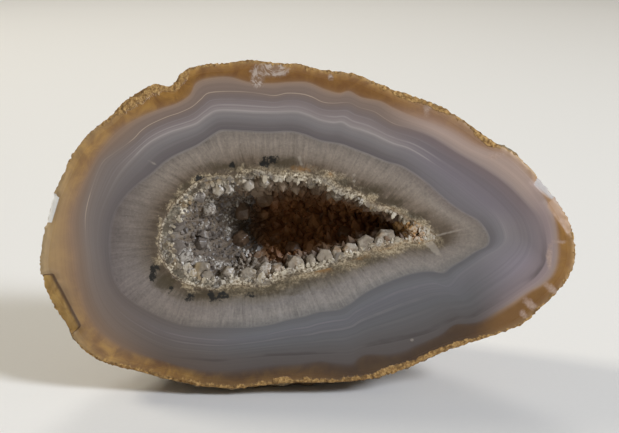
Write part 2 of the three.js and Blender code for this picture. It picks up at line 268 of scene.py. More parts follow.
def closeSheet(obj):
    pickOnly(obj)
    bpy.ops.object.mode_set(mode="EDIT")
    bpy.ops.mesh.select_all(action="SELECT")
    bpy.ops.mesh.remove_doubles(threshold=1e-7)
    bpy.ops.mesh.normals_make_consistent(inside=False)
    bpy.ops.object.mode_set(mode="OBJECT")
    bpy.ops.object.select_all(action="DESELECT")


def applyModifiers(obj):
    pickOnly(obj)
    for modifier in list(obj.modifiers):
        bpy.ops.object.modifier_apply(modifier=modifier.name)
    bpy.ops.object.select_all(action="DESELECT")


def smoothBelow(obj, degrees):
    pickOnly(obj)
    bpy.ops.object.shade_smooth_by_angle(angle=math.radians(degrees), keep_sharp_edges=False)
    bpy.ops.object.select_all(action="DESELECT")


def roughen(obj, name, kind, grain, height, group):
    texture = bpy.data.textures.new(name, kind)
    texture.noise_scale = grain * mm
    if kind == "CLOUDS":
        texture.noise_depth = 3
    modifier = obj.modifiers.new(name, "DISPLACE")
    modifier.texture = texture
    modifier.texture_coords = "LOCAL"
    modifier.strength = height * mm
    modifier.mid_level = 0.5
    modifier.vertex_group = group


def shade(*colour):
    parts = [c / 255 for c in colour]
    return tuple(((c + 0.055) / 1.055) ** 2.4 if c > 10 / 255 else c / 12.92 for c in parts) + (1,)


work = {}                        # holds the node tree that new nodes go into


def newMaterial(name):
    material = bpy.data.materials.new(name)
    material.use_nodes = True
    work["tree"] = material.node_tree
    return material, material.node_tree.nodes["Principled BSDF"]


def put(kind, settings=None, **sockets):
    node = work["tree"].nodes.new(kind)
    for name, value in (settings or {}).items():
        setattr(node, name, value)
    for name, value in sockets.items():
        fill(node.inputs[name], value)
    return node


def fill(socket, value):
    if isinstance(value, bpy.types.NodeSocket):
        work["tree"].links.new(value, socket)
    else:
        socket.default_value = value


def calc(operation, *values):
    node = put("ShaderNodeMath", {"operation": operation})
    for socket, value in zip(node.inputs, values):
        fill(socket, value)
    return node.outputs[0]


def times(first, *others):
    for other in others:
        first = calc("MULTIPLY", first, other)
    return first


def plus(first, *others):
    for other in others:
        first = calc("ADD", first, other)
    return first


def minus(a, b):
    return calc("SUBTRACT", a, b)


def scaled(value, gain, offset):
    return calc("MULTIPLY_ADD", value, gain, offset)


def sway(value, strength):       # a pattern of 0 to 1, turned to both sides of zero
    return times(minus(value, 0.5), strength)


def tone(factor, a, b, mode="MIX"):
    node = put("ShaderNodeMix", {"data_type": "RGBA", "blend_type": mode})
    for socket, value in ((0, factor), (6, a), (7, b)):
        fill(node.inputs[socket], value)
    return node.outputs[2]


def wash(colour, over, *shares):
    return tone(times(*shares), colour, shade(*over) if isinstance(over, tuple) else over)


def between(value, low, high):
    node = put("ShaderNodeMapRange", {"interpolation_type": "SMOOTHSTEP"}, Value=value)
    node.inputs["From Min"].default_value = low
    node.inputs["From Max"].default_value = high
    return node.outputs[0]


def twoTone(value, pair, low=0.35, high=0.65):
    return tone(between(value, low, high), shade(*pair[0]), shade(*pair[1]))


def colours(factor, stops):
    node = put("ShaderNodeValToRGB")
    elements = node.color_ramp.elements
    for element, (place, colour) in ((elements[0], stops[0]), (elements[1], stops[-1])):
        element.position = place
        element.color = shade(*colour)
    for place, colour in stops[1:-1]:
        elements.new(place).color = shade(*colour)
    fill(node.inputs[0], factor)
    return node.outputs[0]


def speckle(place, scale, detail=3, roughness=0.5, distortion=0.0):
    node = put("ShaderNodeTexNoise", Vector=place, Scale=scale, Detail=detail, Roughness=roughness,
               Distortion=distortion)
    return node.outputs["Fac"]


def mapped(place, scale):
    node = put("ShaderNodeVectorMath", {"operation": "MULTIPLY"})
    fill(node.inputs[0], place)
    fill(node.inputs[1], scale)
    return node.outputs["Vector"]


def attribute(name, output="Fac"):
    return put("ShaderNodeAttribute", {"attribute_name": name}).outputs[output]


def objectPlace():
    return put("ShaderNodeTexCoord").outputs["Object"]


def axes(place):
    return tuple(put("ShaderNodeSeparateXYZ", Vector=place).outputs)


def dress(material, shader, colour, roughness, relief, strength, distance):
    fill(shader.inputs["Base Color"], colour)
    fill(shader.inputs["Roughness"], roughness)
    bump = put("ShaderNodeBump", Height=relief, Strength=strength, Distance=distance * mm)
    fill(shader.inputs["Normal"], bump.outputs[0])
    return material


agate = {
    "columns": 600,
    "hollowRows": [1, 0.95, 0.88, 0.8, 0.7, 0.6, 0.5, 0.4, 0.3, 0.2, 0.12, 0.06, 0.02],
    "faceRows": [5, 4.9, 4.78, 4.62, 4.46, 4.3, 4.15, 4, 3.75, 3.5, 3.25, 3, 2.75, 2.5, 2.25, 2,
                 1.75, 1.5, 1.25, 1, 0.8, 0.62, 0.46, 0.33, 0.22, 0.13, 0.06, 0],
    "skinRows": 72,
    "edgeDrop": 0.3,             # how far the rim of the face is broken back
    "edgeWide": 1.1,             # over this width
    "crustGrain": 0.55,          # height of the sugary grains along the rim
    "skinBumps": 1.1,            # height of the bumps of the outer skin
    "skinPits": 0.6,             # depth of its pits
    "skinGrain": 0.4,            # height of its grain
    "roughening": (("crustGrain", "CLOUDS", 0.7, "crustGrain"), ("skinBumps", "CLOUDS", 5.5, "skinBumps"),
                   ("skinPits", "VORONOI", 3.4, "skinBumps"), ("skinGrain", "CLOUDS", 1.6, "skinBumps")),
    "bandWide": 5.0,             # usual width of one growth band
    "ringRadius": 34.0,          # radius of the ring that the fibres are spread round
    "mapWide": 131,              # how many mm the flat map is wide
}

# flats broken off the rim: the line on the face where each starts, its first step and its slope
rimFlats = {
    "lowerLeftChip": {"from": (-62.6, 29.2), "to": (-55.2, 14.8), "step": 0.55, "slope": 0.38},
    "leftSliver": {"from": (-60.0, 47.6), "to": (-62.4, 40.2), "step": 0.05, "slope": 0.75},
    "rightSliver": {"from": (61.6, 44.0), "to": (54.2, 50.4), "step": 0.05, "slope": 0.55},
    "rightFlat": {"from": (63.4, 37.6), "to": (57.4, 45.4), "step": 0.12, "slope": 0.3},
}

# what shows in the polished face: places and half sizes in mm, and the turn in degrees where there is one
faceMarks = {
    "dendrites": [(-37.5, 29.6, 0.9, 0.7), (-38.0, 27.3, 0.6, 0.7), (-33.6, 24.5, 0.5, 0.4),
                  (-28.8, 22.6, 0.9, 0.7), (-22.2, 22.0, 0.9, 0.4), (-20.9, 22.9, 1.1, 0.7),
                  (-18.5, 54.9, 0.5, 0.5), (-8.8, 56.2, 1.6, 0.7), (-11.0, 55.0, 1.2, 0.4),
                  (-26.2, 51.4, 0.9, 0.6), (-23.6, 23.2, 0.5, 1.0), (-13.8, 23.2, 0.8, 0.3)],
    "olive": [(-35.0, 26.4, 2.6, 1.8), (-25.0, 23.1, 5.5, 0.9), (-12.0, 24.2, 8.5, 0.8),
              (-4.0, 26.2, 4.5, 0.7), (-6.5, 55.5, 4.5, 1.2), (-20.0, 54.6, 4.0, 0.8),
              (-29.3, 49.6, 1.5, 1.3), (8.7, 50.9, 1.6, 0.8), (15.5, 49.0, 3.5, 0.9),
              (20.5, 46.0, 2.5, 0.9), (25.5, 42.5, 2.0, 0.7), (-31.5, 46.6, 1.0, 1.2),
              (5.0, 29.6, 3.5, 0.9), (14.0, 32.0, 4.0, 0.9)],
    "rust": [(25.6, 39.2, 1.5, 1.9), (16.5, 35.4, 3.0, 0.8), (10.5, 33.0, 2.6, 0.8), (3.0, 29.7, 1.8, 0.6),
             (21.0, 36.8, 2.2, 0.6), (-1.5, 54.2, 0.8, 0.2), (5.6, 52.9, 0.3, 0.3)],
    "inclusions": [(-9.0, 77.7, 4.4, 1.7), (-12.1, 75.9, 1.6, 2.2), (28.8, 68.4, 0.7, 1.5),
                   (5.6, 76.1, 0.6, 0.6), (59.4, 24.8, 1.7, 0.8, -40), (54.4, 20.9, 2.1, 0.9, -42),
                   (52.9, 18.4, 1.1, 0.6, -40), (45.6, 57.2, 1.8, 0.8), (61.0, 36.3, 1.0, 0.3),
                   (58.8, 32.6, 0.6, 2.4)],
    "sugary": [(-14.0, 24.6, 5.0, 0.9, 8), (-4.0, 26.8, 4.0, 1.1, 22), (4.0, 29.4, 4.5, 1.1, 18),
               (12.5, 31.8, 5.0, 1.4, 20), (20.0, 34.4, 4.0, 1.5, 14), (27.0, 36.6, 3.4, 1.7, 0),
               (29.0, 38.6, 3.4, 1.2, -42), (24.0, 42.6, 3.0, 0.7, -32), (-31.5, 29.0, 1.6, 0.8, -40),
               (6.0, 52.3, 3.0, 0.7, -16), (-9.5, 53.9, 3.6, 0.6, 0), (-27.0, 50.8, 2.2, 0.8, 35)],
    "crumbly": [(-38.5, 71.4, 9.0, 2.4, 32), (-31.0, 74.8, 3.0, 2.0, 35), (21.5, 5.0, 5.5, 1.1, 14),
                (33.5, 9.4, 7.0, 1.1, 22), (24.0, 71.4, 4.0, 0.9, -24), (31.0, 69.4, 3.4, 1.2, -30),
                (43.0, 61.2, 3.6, 1.3, -36), (-6.5, 2.2, 1.6, 0.9, 0)],
    "laths": [(25.5, 12.1, 0.35, 0.35, 0), (-37.6, 55.5, 0.7, 0.2, -25), (30.0, 35.4, 3.2, 0.8, -48),
              (29.6, 38.5, 2.0, 0.7, -52), (33.4, 38.3, 2.6, 0.12, 14), (-12.0, 56.8, 0.5, 0.5, 0),
              (-1.8, 56.0, 0.4, 1.2, 20), (11.2, 51.6, 0.3, 1.4, 0)],
}


def crossing(origin, target, loop):
    dense = closedCurve(loop, np.arange(2400) / 2400)
    heading = target - origin
    offset = dense[None] - origin[:, None]
    side = heading[:, None, 0] * offset[..., 1] - heading[:, None, 1] * offset[..., 0]
    along = (heading[:, None] * offset).sum(-1) / (heading ** 2).sum(-1)[:, None]
    sideNext = np.roll(side, -1, axis=1)
    alongNext = np.roll(along, -1, axis=1)
    mixed = side / np.where(side == sideNext, 1, side - sideNext)
    place = along + (alongNext - along) * mixed
    good = (side * sideNext <= 0) & (place > 0) & (place < 1)
    return np.where(good, place, 2).min(axis=1)


def beyondLine(flat, x, height):
    a, b = np.array(flat["from"]), np.array(flat["to"])
    along = (b - a) / np.linalg.norm(b - a)
    offX, offHeight = x - a[0], height - a[1]
    place = (offX * along[0] + offHeight * along[1]) / np.linalg.norm(b - a)
    beyond = offX * along[1] - offHeight * along[0]
    ends = smoothStep(place, -0.06, 0.06) * smoothStep(place, 1.06, 0.94)
    return beyond, ends


def flatDepth(x, height):
    depth = np.zeros(np.shape(x))
    for flat in rimFlats.values():
        beyond, ends = beyondLine(flat, x, height)
        cut = flat["step"] * smoothStep(beyond, -0.1, 0.35) + flat["slope"] * np.maximum(beyond, 0)
        depth = np.maximum(depth, np.minimum(cut * ends, 2.6))
    return depth


def flatReach(name, x, height):
    beyond, ends = beyondLine(rimFlats[name], x, height)
    return np.where(ends > 0.3, beyond, -5) - 6 * (1 - ends)


def nearness(marks, x, height):
    far = np.full(np.shape(x), 20.0)
    for mark in marks:
        turn = math.radians(mark[4]) if len(mark) > 4 else 0
        offX, offHeight = x - mark[0], height - mark[1]
        alongX = (offX * math.cos(turn) + offHeight * math.sin(turn)) / mark[2]
        alongHeight = (offHeight * math.cos(turn) - offX * math.sin(turn)) / mark[3]
        far = np.minimum(far, (np.hypot(alongX, alongHeight) - 1) * min(mark[2], mark[3]))
    return far


def makeAgate():
    columns = agate["columns"]
    hollowRows = np.array(agate["hollowRows"])
    faceRows = np.array(agate["faceRows"])
    skinRows = np.arange(1, agate["skinRows"] + 1) / agate["skinRows"]
    skinRows = skinRows * 0.9 + 0.1 * skinRows ** 2
    faceStart, skinStart = len(hollowRows), len(hollowRows) + len(faceRows)
    rowCount = skinStart + len(skinRows)
    stone, column, row = sheetObject("agateStone", columns, rowCount - 1)

    around = np.arange(columns + 1) / columns % 1
    outline = closedCurve(outlinePoints, around)
    lip = closedCurve(lipPoints, around)
    wide = np.linalg.norm(lip - outline, axis=1)
    crossings = [np.zeros(columns + 1)]
    for name, line in growthLines.items():
        found = crossing(outline, lip, line)
        missed = int((found > 1.5).sum())
        if missed:
            print("growth line", name, "is not met by", missed, "columns")
        crossings.append(np.clip(found, crossings[-1] + 0.02, 0.94))
    crossings.append(np.ones(columns + 1))

    points = np.zeros((rowCount, columns + 1, 3))
    flatPlace = np.zeros((rowCount, columns + 1, 2))
    band, edgeFar, lipFar = np.zeros((3, rowCount, columns + 1))
    for r, down in enumerate(hollowRows):
        points[r] = hollowPoint(around, down)
        flatPlace[r] = lip
        band[r], edgeFar[r], lipFar[r] = 5 + down, wide + down * 30, -down * 30
    for r, value in enumerate(faceRows, faceStart):
        low = min(int(value), 4)
        along = crossings[low] + (crossings[low + 1] - crossings[low]) * (value - low)
        spot = outline + (lip - outline) * along[:, None]
        far = along * wide
        worn = agate["edgeDrop"] * np.clip(1 - far / agate["edgeWide"], 0, 1) ** 2
        points[r] = placed(spot[:, 0], flatDepth(spot[:, 0], spot[:, 1]) + worn, spot[:, 1])
        flatPlace[r] = spot
        band[r], edgeFar[r], lipFar[r] = value, far, wide - far
    rimDepth = flatDepth(outline[:, 0], outline[:, 1]) + agate["edgeDrop"]
    for r, back in enumerate(skinRows, skinStart):
        points[r] = skinPoint(around, back, rimDepth)
        flatPlace[r] = outline
        band[r], edgeFar[r], lipFar[r] = -back, -back * body["depth"], wide
    points[..., 2] = np.maximum(points[..., 2], 0)

    # a ring that carries the patterns: round it along the growth lines, up it from band to band
    middle = outline * 0.35 + lip * 0.65
    steps = np.linalg.norm(np.diff(middle, axis=0), axis=1)
    angle = np.concatenate([[0], np.cumsum(steps)]) / steps.sum() * 2 * math.pi
    ring = np.stack([np.cos(angle), np.sin(angle)], axis=-1) * agate["ringRadius"]
    ringPlace = np.stack([ring[column, 0], ring[column, 1], band[row, column] * agate["bandWide"]], axis=-1)

    setPlaces(stone, points[row, column])
    x, height = flatPlace[row, column].T
    for name, values in (("bandPlace", band), ("edgeFar", edgeFar), ("lipFar", lipFar)):
        addAttribute(stone, name, "FLOAT", values[row, column])
    addAttribute(stone, "ringPlace", "FLOAT_VECTOR", ringPlace)
    for name, marks in faceMarks.items():
        addAttribute(stone, name + "Far", "FLOAT", nearness(marks, x, height))
    for name in rimFlats:
        addAttribute(stone, name, "FLOAT", flatReach(name, x, height))

    # the flat map: the face at the lower left, the hollow in a strip over it, the skin in a strip on top
    corner = np.zeros(len(stone.data.loops), int)
    stone.data.loops.foreach_get("vertex_index", corner)
    share = column / columns
    hollowShare = 0.02 + 0.2 * share
    u = np.where(row < skinStart, (x + 65.5) / agate["mapWide"], share)
    skinShare = (row - skinStart + 1) / len(skinRows)
    v = np.where(row < skinStart, height / agate["mapWide"], 0.64 + 0.34 * skinShare)
    u = np.where(row < faceStart, hollowShare, u)
    downs = np.append(hollowRows, np.zeros(rowCount - faceStart))
    v = np.where(row < faceStart, 0.52 + 0.1 * downs[row], v)
    cornerRow = row[corner].reshape(-1, 4)
    faceRow = cornerRow.min(axis=1)
    cornerU, cornerV = u[corner].reshape(-1, 4).copy(), v[corner].reshape(-1, 4).copy()
    for first, edgeRow, edgeU, edgeV in ((skinStart - 1, skinStart - 1, share, 0.64),
                                         (faceStart - 1, faceStart, hollowShare, 0.52)):
        edge = (faceRow == first)[:, None] & (cornerRow == edgeRow)
        cornerU[edge] = edgeU[corner].reshape(-1, 4)[edge]
        cornerV[edge] = edgeV
    uv = stone.data.uv_layers[0]
    uv.name = "OFBake"
    uv.data.foreach_set("uv", np.stack([cornerU.ravel(), cornerV.ravel()], axis=-1).ravel())

    for material in (makePolishedMaterial(), makeRindMaterial(), makeHollowMaterial()):
        stone.data.materials.append(material)
    slots = np.where(faceRow < faceStart, 2, np.where(faceRow < skinStart - 1, 0, 1))
    stone.data.polygons.foreach_set("material_index", slots)

    far = edgeFar[row, column]
    weights = {
        "crustGrain": np.clip(1 - np.abs(far) / np.where(far < 0, 3.0, 1.5), 0, 1),
        "skinBumps": smoothStep(-far, 0.3, 4),
    }
    for name, weight in weights.items():
        group = stone.vertex_groups.new(name=name)
        steps = np.rint(weight * 20).astype(int)
        for step in range(1, 21):
            group.add(np.nonzero(steps == step)[0].tolist(), step / 20, "REPLACE")

    closeSheet(stone)
    for name, kind, grain, group in agate["roughening"]:
        roughen(stone, name, kind, grain, agate[name] * 2, group)
    applyModifiers(stone)
    points = readPlaces(stone)
    points[:, 2] = np.maximum(points[:, 2], 0)
    setPlaces(stone, points)
    smoothBelow(stone, 38)
    print("agate:", len(stone.data.vertices), "points")
    return stone


# colours across the bands from the rim inwards, at five parts of the face
bandColours = {
    "top": [
        (0, (180, 150, 100)), (0.25, (125, 90, 52)), (0.7, (108, 76, 44)), (0.95, (118, 88, 60)),
        (1.1, (138, 117, 100)), (1.5, (122, 104, 92)), (2, (116, 100, 90)), (2.3, (110, 98, 93)),
        (2.7, (124, 113, 110)), (2.9, (128, 118, 114)), (3, (140, 131, 126)), (3.15, (118, 111, 108)),
        (3.4, (112, 106, 104)), (3.7, (97, 90, 88)), (3.95, (92, 85, 84)), (4.02, (125, 117, 110)),
        (4.3, (142, 132, 122)), (4.5, (135, 124, 113)), (4.75, (112, 99, 86)), (5, (105, 92, 78)),
    ],
    "bottom": [
        (0, (128, 100, 62)), (0.3, (84, 58, 30)), (0.75, (52, 36, 24)), (1, (60, 48, 42)),
        (1.3, (76, 68, 64)), (2, (80, 74, 71)), (2.5, (85, 83, 83)), (3, (93, 91, 94)),
        (3.3, (95, 94, 95)), (3.7, (90, 88, 89)), (3.98, (88, 86, 87)), (4.03, (105, 101, 97)),
        (4.25, (126, 119, 112)), (4.5, (118, 111, 105)), (4.7, (104, 96, 85)), (4.85, (84, 74, 60)),
        (5, (70, 60, 47)),
    ],
    "right": [
        (0, (170, 145, 105)), (0.3, (135, 100, 58)), (0.8, (132, 98, 62)), (1.05, (142, 124, 114)),
        (1.5, (135, 118, 114)), (2, (123, 109, 108)), (2.4, (124, 115, 119)), (3, (126, 119, 123)),
        (3.5, (121, 114, 118)), (3.95, (114, 107, 109)), (4.03, (124, 114, 111)), (4.3, (131, 119, 111)),
        (4.6, (118, 105, 95)), (5, (110, 97, 86)),
    ],
    "upperRight": [
        (0, (180, 150, 110)), (0.3, (158, 130, 105)), (1, (160, 138, 125)), (1.5, (158, 137, 124)),
        (1.95, (138, 122, 114)), (2.1, (112, 98, 96)), (2.5, (104, 95, 96)), (3, (112, 104, 107)),
        (3.5, (108, 102, 103)), (3.95, (104, 98, 98)), (4.03, (122, 112, 107)), (4.3, (146, 136, 126)),
        (4.6, (128, 114, 100)), (5, (112, 100, 84)),
    ],
    "left": [
        (0, (170, 148, 112)), (0.3, (158, 131, 94)), (0.7, (150, 122, 90)), (1, (134, 110, 90)),
        (1.5, (120, 101, 86)), (2, (118, 105, 96)), (2.5, (111, 101, 95)), (3, (106, 97, 92)),
        (3.6, (97, 89, 86)), (3.97, (95, 87, 84)), (4.03, (104, 96, 94)), (4.4, (110, 102, 99)),
        (4.8, (105, 96, 90)), (5, (98, 88, 78)),
    ],
}

polish = {
    "gain": 1.22,                # how much paler the stone is than it looks in the shade of its own face
    "roughness": 0.22,
    "fibre": 0.504,              # strength of the fibres in the quartz band
    "stripe": 0.416,             # strength of the fine stripes
    "halfWide": 65.0,            # side and up run from -1 to 1 over the face
    "middleHeight": 38.0,
    "halfHigh": 40.0,
    "quartzDull": (0.76, 0.725, 0.68, 1),
    "lowLeft": (92, 66, 40),
    "lowRight": (54, 38, 26),
    "farRight": (96, 62, 22),
    "amber": ((104, 66, 26), (178, 134, 62)),
    "amberRight": (122, 82, 28),
    "amberTop": (106, 66, 34),
    "hairline": (164, 145, 126),
    "darkHair": (52, 44, 42),
    "paleLine": (150, 141, 136),
    "speck": (190, 184, 178),
    "lipBrown": (60, 46, 28),
    "sugar": ((104, 86, 58), (182, 164, 132)),
    "cloudy": ((152, 127, 110), (172, 148, 132)),
    "veined": ((124, 100, 80), (178, 164, 152)),
    "chip": ((140, 104, 46), (184, 148, 82)),
    "groove": (76, 46, 12),
    # painted highlight: the near-white of the left sliver stands in for a glint of the lamp on its facet
    "leftSliver": (226, 226, 226),
    # partly painted reflection: the pale of the right sliver is a frosted chip and also stands in for the
    # lamp's reflection on it
    "rightSliver": (172, 168, 164),
    "rightFlat": (160, 128, 100),
    "crust": ((122, 88, 44), (178, 142, 88)),
    # painted shade between the grains of the rim crust
    "crustGapShade": (78, 54, 26),
}

# parts of the face that a colour grows into: from and to across it, then from and to up it
faceZones = {
    "shoulder": ((0.25, 0.5), (-0.05, 0.2)),
    "rightLow": ((0.6, 0.84), (0.05, -0.2)),
    "lowLeft": ((-0.15, -0.55), (0.0, -0.55)),
    "lowRight": ((-0.08, 0.2), (-0.42, -0.56)),
    "farRight": ((0.55, 0.8), (-0.2, -0.42)),
    "topBrown": ((-0.55, -0.25), (0.3, 0.6)),
    "lowSide": ((-0.55, -0.25), (-0.3, -0.7)),
    "paleShoulder": ((0.66, 0.78), (0.0, 0.2)),
    "paleEnd": ((-0.78, -0.92), (0.5, 0.2)),
    "darkHair": ((-0.6, -0.3), (0.1, -0.2)),
}

# pale lines: place in the bands, half width, soft edge and strength
paleLines = ((3.0, 0.014, 0.04, 0.62), (2.72, 0.014, 0.035, 0.5), (2.86, 0.012, 0.03, 0.14),
             (2.42, 0.012, 0.035, 0.2))

# marks: how ragged, how far off each starts and is full (mm), strength and colour
markLooks = {
    "olive": (1.0, 1.0, -0.7, 0.8, (58, 48, 30)),
    "rust": (1.0, 0.9, -0.8, 0.75, (146, 102, 48)),
    "laths": (0.2, 0.25, -0.1, 0.5, (158, 147, 132)),
    "dendrites": (1.1, 0.45, 0.0, 0.96, (6, 5, 3)),
    "inclusions": (0.6, 0.45, -0.5, 0.75, None),
}


def facePlace():
    node = put("ShaderNodeMapping", {"vector_type": "POINT"}, Vector=objectPlace())
    lean, footY, footZ = stance["lean"], stance["footY"], stance["footZ"]
    shiftY = footZ * math.sin(lean) - footY * math.cos(lean)
    shiftZ = -footY * math.sin(lean) - footZ * math.cos(lean)
    node.inputs["Location"].default_value = (0, shiftY, shiftZ)
    node.inputs["Rotation"].default_value = (lean, 0, 0)
    node.inputs["Scale"].default_value = (1 / mm, 1 / mm, 1 / mm)
    return node.outputs[0]


def lineMask(band, middle, half, soft, wander=0.0):
    off = calc("ABSOLUTE", minus(plus(band, wander), middle))
    return between(off, half + soft, half)


def makePolishedMaterial():
    material, shader = newMaterial("polishedAgate")
    place = facePlace()
    x, _, height = axes(place)
    band = attribute("bandPlace")
    edgeFar = attribute("edgeFar")
    lipFar = attribute("lipFar")
    ring = attribute("ringPlace", "Vector")
    side = calc("DIVIDE", x, polish["halfWide"])
    up = calc("DIVIDE", minus(height, polish["middleHeight"]), polish["halfHigh"])
    zone = {name: times(between(side, *across), between(up, *upward))
            for name, (across, upward) in faceZones.items()}

    fine = speckle(mapped(ring, (0.05, 0.05, 1.5)), 1.0, 4, 0.65)
    wander = sway(speckle(place, 0.12, 2), 0.12)
    bandSoft = plus(band, sway(fine, 0.1))
    layers = {}
    for name, stops in bandColours.items():
        layers[name] = colours(calc("DIVIDE", bandSoft, 5.0), [(spot / 5, hue) for spot, hue in stops])
    colour = tone(between(up, -0.45, 0.35), layers["bottom"], layers["top"])
    colour = wash(colour, layers["upperRight"], zone["shoulder"])
    colour = wash(colour, layers["right"], calc("MAXIMUM", between(side, 0.78, 0.92), zone["rightLow"]))
    colour = wash(colour, layers["left"], between(side, -0.5, -0.8))
    colour = wash(colour, polish["lowLeft"], zone["lowLeft"], 0.3)

    # stripes that follow the bands, and soft clouds in the rind
    stripes = speckle(mapped(ring, (0.02, 0.02, 3.1)), 1.0, 5, 0.7)
    stripeGain = plus(sway(stripes, polish["stripe"]), 1.0)
    colour = tone(between(band, 4.02, 3.9), colour, stripeGain, "MULTIPLY")
    rindZone = between(bandSoft, 1.35, 0.6)
    clouds = speckle(place, 0.26, 4, 0.6, 0.5)
    amber = twoTone(clouds, polish["amber"], 0.3, 0.74)
    amber = wash(amber, polish["amberRight"], between(side, 0.3, 0.6), 0.6)
    amber = wash(amber, polish["amberTop"], zone["topBrown"], between(band, 0.1, 0.6), 0.6)
    colour = wash(colour, wash(colour, amber, 0.68), rindZone, scaled(zone["lowSide"], -0.6, 0.85),
                  scaled(zone["paleEnd"], -0.75, 1.0), scaled(zone["paleShoulder"], -0.8, 1.0))
    colour = wash(colour, polish["lowRight"], zone["lowRight"], between(side, 0.74, 0.6), rindZone, 0.72)
    colour = wash(colour, polish["farRight"], zone["farRight"], between(band, 1.0, 0.8), 0.6)

    # thin lines: a cream hairline, dark at the lower side, and pale lines inside it
    upSide = between(up, -0.1, 0.2)
    notRight = times(between(side, 0.6, 0.38), between(side, -0.82, -0.6))
    breaks = between(speckle(mapped(ring, (0.09, 0.09, 0.3)), 1.0, 3), 0.36, 0.56)
    colour = wash(colour, polish["hairline"], lineMask(band, 2.0, 0.012, 0.035), upSide,
                  between(side, 0.5, 0.1), scaled(breaks, 0.6, 0.12))
    colour = wash(colour, polish["darkHair"], lineMask(band, 2.0, 0.04, 0.08, wander), zone["darkHair"],
                  breaks, 0.5)
    for middle, half, soft, strength in paleLines:
        colour = wash(colour, polish["paleLine"], lineMask(band, middle, half, soft), notRight,
                      scaled(upSide, 0.75, 0.25), scaled(breaks, 0.7 * strength, 0.3 * strength))

    # fibres of the quartz band, standing square to its edge
    quartzZone = between(band, 3.99, 4.06)
    colour = tone(times(quartzZone, between(up, -0.35, 0.0)), colour, polish["quartzDull"], "MULTIPLY")
    fibres = speckle(mapped(ring, (1.15, 1.15, 0.3)), 1.0, 4, 0.65, 0.5)
    grains = speckle(place, 1.7, 3, 0.7)
    atTip = between(x, 24.0, 31.0)
    fibres = sway(fibres, scaled(atTip, -0.65, 1.0))
    texture = plus(times(fibres, 2.2), sway(grains, 1.8), sway(speckle(place, 0.55, 3, 0.6), 0.9))
    colour = tone(quartzZone, colour, scaled(texture, polish["fibre"], 1.0), "MULTIPLY")
    specks = between(speckle(place, 2.6, 1), 0.76, 0.82)
    colour = wash(colour, polish["speck"], specks, quartzZone, 0.7)

    # brown stain and sugary crystals along the lip
    ragged = sway(speckle(place, 0.7, 5, 0.7), 3.2)
    lipReach = plus(scaled(atTip, -2.6, plus(lipFar, ragged)), times(fibres, 7.0))
    patchy = between(speckle(place, 0.17, 2), 0.38, 0.6)
    colour = wash(colour, polish["lipBrown"], between(lipReach, 3.6, 0.2), scaled(patchy, 0.4, 0.28))
    clumps = between(speckle(place, 0.3, 3, 0.6), 0.44, 0.6)
    sugarFar = calc("MINIMUM", minus(plus(lipFar, 0.5), times(clumps, 2.0)), attribute("sugaryFar"))
    sugarFar = plus(sugarFar, sway(speckle(place, 0.9, 5, 0.7), 3.6))
    sugared = times(between(sugarFar, 1.0, -0.9), between(band, 3.9, 4.1))
    colour = wash(colour, twoTone(grains, polish["sugar"], 0.34, 0.66), sugared, 0.8)

    # stains, dendrites, and cloudy inclusions in the rim
    veins = speckle(place, 0.42, 4, 0.55, 2.4)
    veined = twoTone(veins, polish["veined"], 0.42, 0.58)
    cloudy = wash(twoTone(grains, polish["cloudy"]), veined, between(up, 0.7, 0.85))
    for name, (raggedShare, start, full, strength, hue) in markLooks.items():
        far = scaled(ragged, raggedShare, attribute(name + "Far"))
        colour = wash(colour, hue or cloudy, between(far, start, full), strength)

    # broken flats of the rim
    chip = attribute("lowerLeftChip")
    colour = wash(colour, twoTone(clouds, polish["chip"], 0.3, 0.7), between(chip, 0.1, 0.5))
    colour = wash(colour, polish["groove"], between(chip, -0.3, 0.15), between(chip, 1.3, 0.4), 0.92)
    # painted highlight: the left sliver is painted near-white like a glint of the lamp on its facet, and the
    # crust is kept off it
    highlightSliver = between(attribute("leftSliver"), 0.0, 0.35)
    colour = wash(colour, polish["leftSliver"], highlightSliver)
    # the right sliver: a pale frosted chip, its pale colour partly a painted reflection of the lamp
    frostAndSheen = times(between(attribute("rightSliver"), 0.0, 0.8), 0.8)
    colour = wash(colour, polish["rightSliver"], frostAndSheen)
    colour = wash(colour, polish["rightFlat"], between(attribute("rightFlat"), 0.0, 0.5), 0.6)

    # sugary crust along the rim
    cells = put("ShaderNodeTexVoronoi", Vector=place, Scale=1.05).outputs["Distance"]
    crumbs = speckle(place, 1.3, 4, 0.7)
    crustTone = twoTone(crumbs, polish["crust"], 0.36, 0.64)
    # painted shade: darker where the cells of the crust meet, between its grains
    crustTone = wash(crustTone, polish["crustGapShade"], between(cells, 0.5, 0.8), 0.6)
    spikes = speckle(mapped(ring, (1.1, 1.1, 0.25)), 1.0, 4, 0.7)
    reach = plus(sway(spikes, 4.2), 0.3, times(between(up, -0.45, -0.8), 0.5),
                 times(between(side, -0.7, -0.9), -0.6), times(zone["paleShoulder"], -1.2),
                 times(between(attribute("crumblyFar"), 0.8, -1.2), 2.2))
    crusted = times(between(minus(edgeFar, reach), 0.25, -0.2), minus(1.0, highlightSliver))
    colour = wash(colour, crustTone, crusted)

    gain = polish["gain"]
    colour = tone(1.0, colour, (gain, gain, gain, 1), "MULTIPLY")
    rough = plus(scaled(crusted, 0.4, polish["roughness"]), times(frostAndSheen, 0.5),
                 times(between(edgeFar, 2.4, 1.0), 0.35), times(quartzZone, 0.1), times(sugared, 0.25))
    relief = plus(times(plus(crumbs, cells), crusted), times(grains, quartzZone, 0.06),
                  times(grains, sugared, 0.8))
    return dress(material, shader, colour, rough, relief, 0.5, 0.4)


rind = {
    "base": ((98, 74, 52), (150, 124, 88)),
    "pale": (196, 172, 128),
    "olive": (104, 98, 76),
    "pit": (62, 44, 28),
    "chalk": (176, 168, 150),
    "roughness": 0.82,
}

wall = {"colours": ((56, 36, 22), (104, 82, 62)), "roughness": 0.5}


